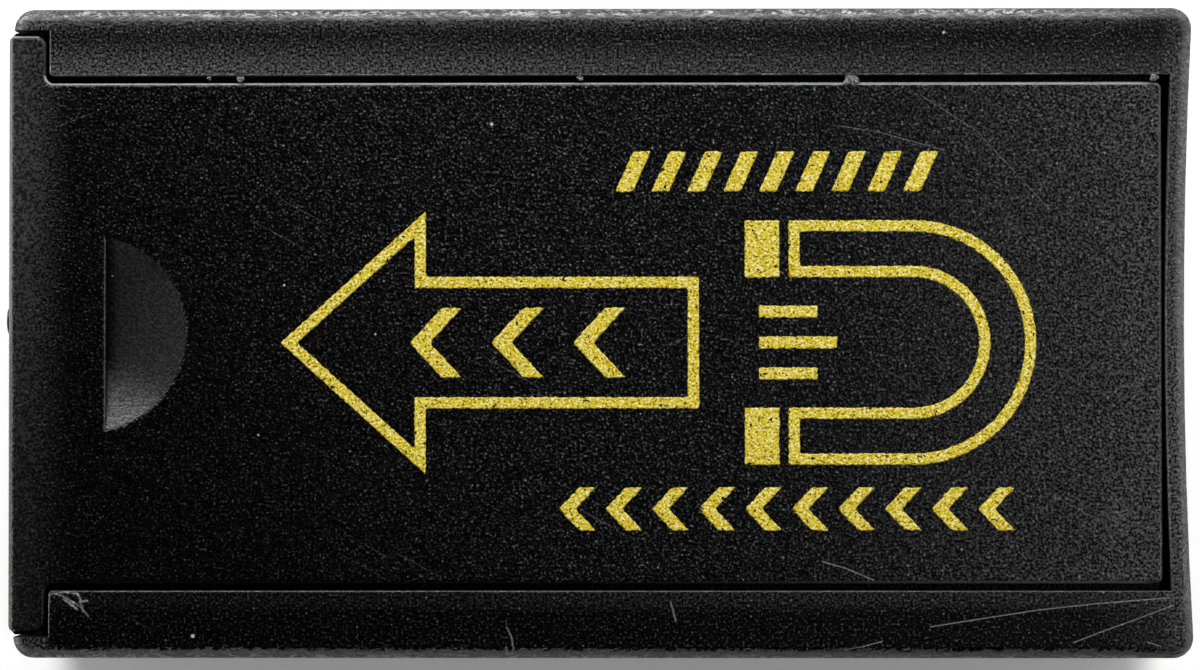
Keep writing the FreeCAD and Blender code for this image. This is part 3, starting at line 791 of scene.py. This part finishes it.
def print_angles():
    """A row of small angles that point the same way as the arrow."""
    first, pitch, count, middle_y = -2.8, 3.3, 10, -12.5
    half_height, depth, thick = 1.55, 1.45, 1.25
    film("print_angles", [[chevron(first + pitch * i, middle_y, half_height, depth, thick)]
                          for i in range(count)])


def crumb(name, x, y, size, material):
    """A torn bit of flash that hangs over the gap from the rail's inner edge."""
    slimness, half_height = 0.9, 0.14
    plain, swell, fold_rise, fold_sharpness = 0.8, 0.7, 0.22, 3
    mesh = bmesh.new()
    bmesh.ops.create_icosphere(mesh, subdivisions=4, radius=1.0)
    for vert in mesh.verts:
        way = vert.co.copy()
        fold = 1 - abs(noise.noise(way * 2.2 + Vector((y, x, 0)))) * fold_sharpness
        bulge = plain + swell * noise.noise(way * 1.1 + Vector((x, y, 0))) + fold_rise * fold
        vert.co = Vector((x + size * bulge * way.x, y + slimness * size * bulge * way.y,
                          min(RAIL_TOP, CRUMB_Z + half_height * bulge * way.z)))
    return as_piece(mesh, name, material, "case", smooth=True)


def glue_bead(name, side, material):
    """Squeezed-out glue in the corner between a block's inner face and the channel's web."""
    steps, turns, short_of_end, inside = 90, 6, 0.3, 0.02
    thickness, swell, ripple, hollow = 0.62, 0.42, 0.14, 0.28
    taper_start, taper, taper_steps = 0.25, 0.9, 6
    mesh = bmesh.new()
    rings = []
    for i in range(steps + 1):
        y = -CHANNEL_HALF_Y + short_of_end + (2 * CHANNEL_HALF_Y - 2 * short_of_end) * i / steps
        reach = (thickness + swell * noise.noise(Vector((side * 5.0, y * 0.55, 0)))
                 + ripple * noise.noise(Vector((y * 2, 0, 3))))
        reach *= min(1.0, taper_start + taper * math.sqrt(min(i, steps - i) / taper_steps))
        corner = Vector((side * (BLOCK_INNER_X + inside), y, CHANNEL_WEB + inside))
        ring = [mesh.verts.new(corner)]
        for k in range(turns + 1):
            angle = math.pi / 2 * k / turns
            sag = 1 - hollow * math.sin(2 * angle)
            way = Vector((-side * math.cos(angle), 0, -math.sin(angle)))
            ring.append(mesh.verts.new(corner + way * reach * sag))
        rings.append(ring)
    quads_between(mesh, rings, closed=False)
    mesh.faces.new(rings[0])
    mesh.faces.new(list(reversed(rings[-1])))
    return as_piece(mesh, name, material, "case", smooth=True)


def ejector_mark(name, x, y, material):
    """The thin raised ring that an ejector pin leaves on the chamber's floor."""
    inner, outer, slope, rise, sunk, count = 2.35, 2.55, 0.05, 0.05, -0.01, 72
    section = ((inner, sunk), (inner + slope, rise), (outer - slope, rise), (outer, sunk))
    mesh = bmesh.new()
    rings = []
    for i in range(count):
        angle = 2 * math.pi * i / count
        rings.append([mesh.verts.new((x + radius * math.cos(angle), y + radius * math.sin(angle),
                                      CHAMBER_FLOOR + height)) for radius, height in section])
    quads_between(mesh, rings, closed=True)
    return as_piece(mesh, name, material, "case")


# === Stage =========================================================================================

def make_floor():
    """A pale floor that takes the shadow and glows to white, less so near the box; a band in front of it
    glows least, a painted shadow.
    """
    bpy.ops.mesh.primitive_plane_add(size=FLOOR_SIZE)
    floor = bpy.context.object
    floor.name = "floor"
    material = bpy.data.materials.new("pale_floor")
    material.use_nodes = True
    tree = Tree(material.node_tree)
    place = tree.node("ShaderNodeTexCoord").outputs["Object"]
    x, y, _ = tree.parts(place)
    distance = tree.vector_math("LENGTH", place)["Value"]
    far = tree.ramp(distance, *FAR_RANGE, FLOOR_GLOW_NEAR, FLOOR_GLOW_FAR)
    # more glow off the box's ends and behind it than in front, where a painted shadow is left
    aside = tree.ramp(tree.math("ABSOLUTE", x), *ASIDE_RANGE, 0.0, FLOOR_GLOW_ASIDE)
    behind = tree.ramp(y, *BEHIND_RANGE, 0.0, FLOOR_GLOW_BEHIND)
    glow = tree.total(far, tree.most(aside, behind))
    shader = tree.nodes["Principled BSDF"].inputs
    shader["Base Color"].default_value = (FLOOR_PALE, FLOOR_PALE, FLOOR_PALE, 1)
    shader["Roughness"].default_value = FLOOR_ROUGH
    shader["Specular IOR Level"].default_value = 0.0
    shader["Emission Color"].default_value = (1, 1, 1, 1)
    tree.feed(shader["Emission Strength"], tree.product(glow, tree.seen_directly()))
    dress(material, floor)


def softbox(name, at, size, radiance, toward=(0, 0, 0.01)):
    """A rectangular lamp of an even brightness, where 1 is white, facing a point."""
    light = bpy.data.lights.new(name, "AREA")
    light.shape = "RECTANGLE"
    light.size, light.size_y = size
    light.energy = radiance * math.pi * size[0] * size[1]
    lamp = bpy.data.objects.new(name, light)
    lamp.location = at
    lamp.rotation_euler = (Vector(toward) - Vector(at)).to_track_quat("-Z", "Y").to_euler()
    lamp.visible_camera = False
    bpy.context.scene.collection.objects.link(lamp)


def make_world():
    """A studio whose walls look white near the floor, fade to a dark ceiling and give a little light."""
    world = bpy.data.worlds.new("studio")
    world.use_nodes = True
    tree = Tree(world.node_tree)
    upward = tree.parts(tree.node("ShaderNodeTexCoord").outputs["Generated"])[2]
    fade = tree.ramp(upward, *WALL_FADE, 1.0, CEILING_GLOW)
    level = tree.ramp(tree.seen_directly(), 0.0, 1.0, WALL_LIGHT, 1.0)
    background = tree.nodes["Background"].inputs
    background["Color"].default_value = (1, 1, 1, 1)
    tree.feed(background["Strength"], tree.product(fade, level))
    bpy.context.scene.world = world


def make_lights():
    for name, middle, size, brightness in SOFTBOXES:
        softbox(name, middle, size, brightness)


def make_camera():
    """The photograph's viewpoint."""
    lens = bpy.data.cameras.new("photo_view")
    lens.sensor_fit = "HORIZONTAL"
    lens.lens = lens.sensor_width * FOCAL_IN_WIDTHS
    lens.clip_start, lens.clip_end = 0.01, 20.0
    camera = bpy.data.objects.new("photo_view", lens)
    camera.location = CAMERA_AT
    camera.rotation_euler = CAMERA_TURN
    bpy.context.scene.collection.objects.link(camera)
    bpy.context.scene.camera = camera


# === Putting it together ===========================================================================

make_camera()
make_world()
make_lights()
make_floor()

CASE = case_plastic()
LID = lid_plastic()
GLUE = glue()
INK = print_ink()
FLASH = torn_flash()
dress(CASE, nodes["case_body"])
dress(LID, nodes["sliding_lid"])
dress(zinc_steel(), nodes["magnet_channel"], nodes["rivet_washer_front"], nodes["rivet_washer_back"])
dress(ferrite(), nodes["magnet_block_left"], nodes["magnet_block_right"])
dress(GLUE, nodes["magnet_bond_left"], nodes["magnet_bond_right"])
dress(rivet_alloy(), nodes["magnet_rivet_front"], nodes["magnet_rivet_back"])

print_arrow()
print_magnet()
print_stripes()
print_angles()
for number, (x, y, size) in enumerate(CRUMBS, 1):
    crumb(f"flash_crumb_{number}", x, y, size, FLASH)
glue_bead("glue_bead_left", -1, GLUE)
glue_bead("glue_bead_right", 1, GLUE)
for number, (x, y) in enumerate(EJECTOR_PINS, 1):
    ejector_mark(f"case_ejector_mark_{number}", x, y, CASE)

bpy.context.scene.view_settings.view_transform = "Standard"
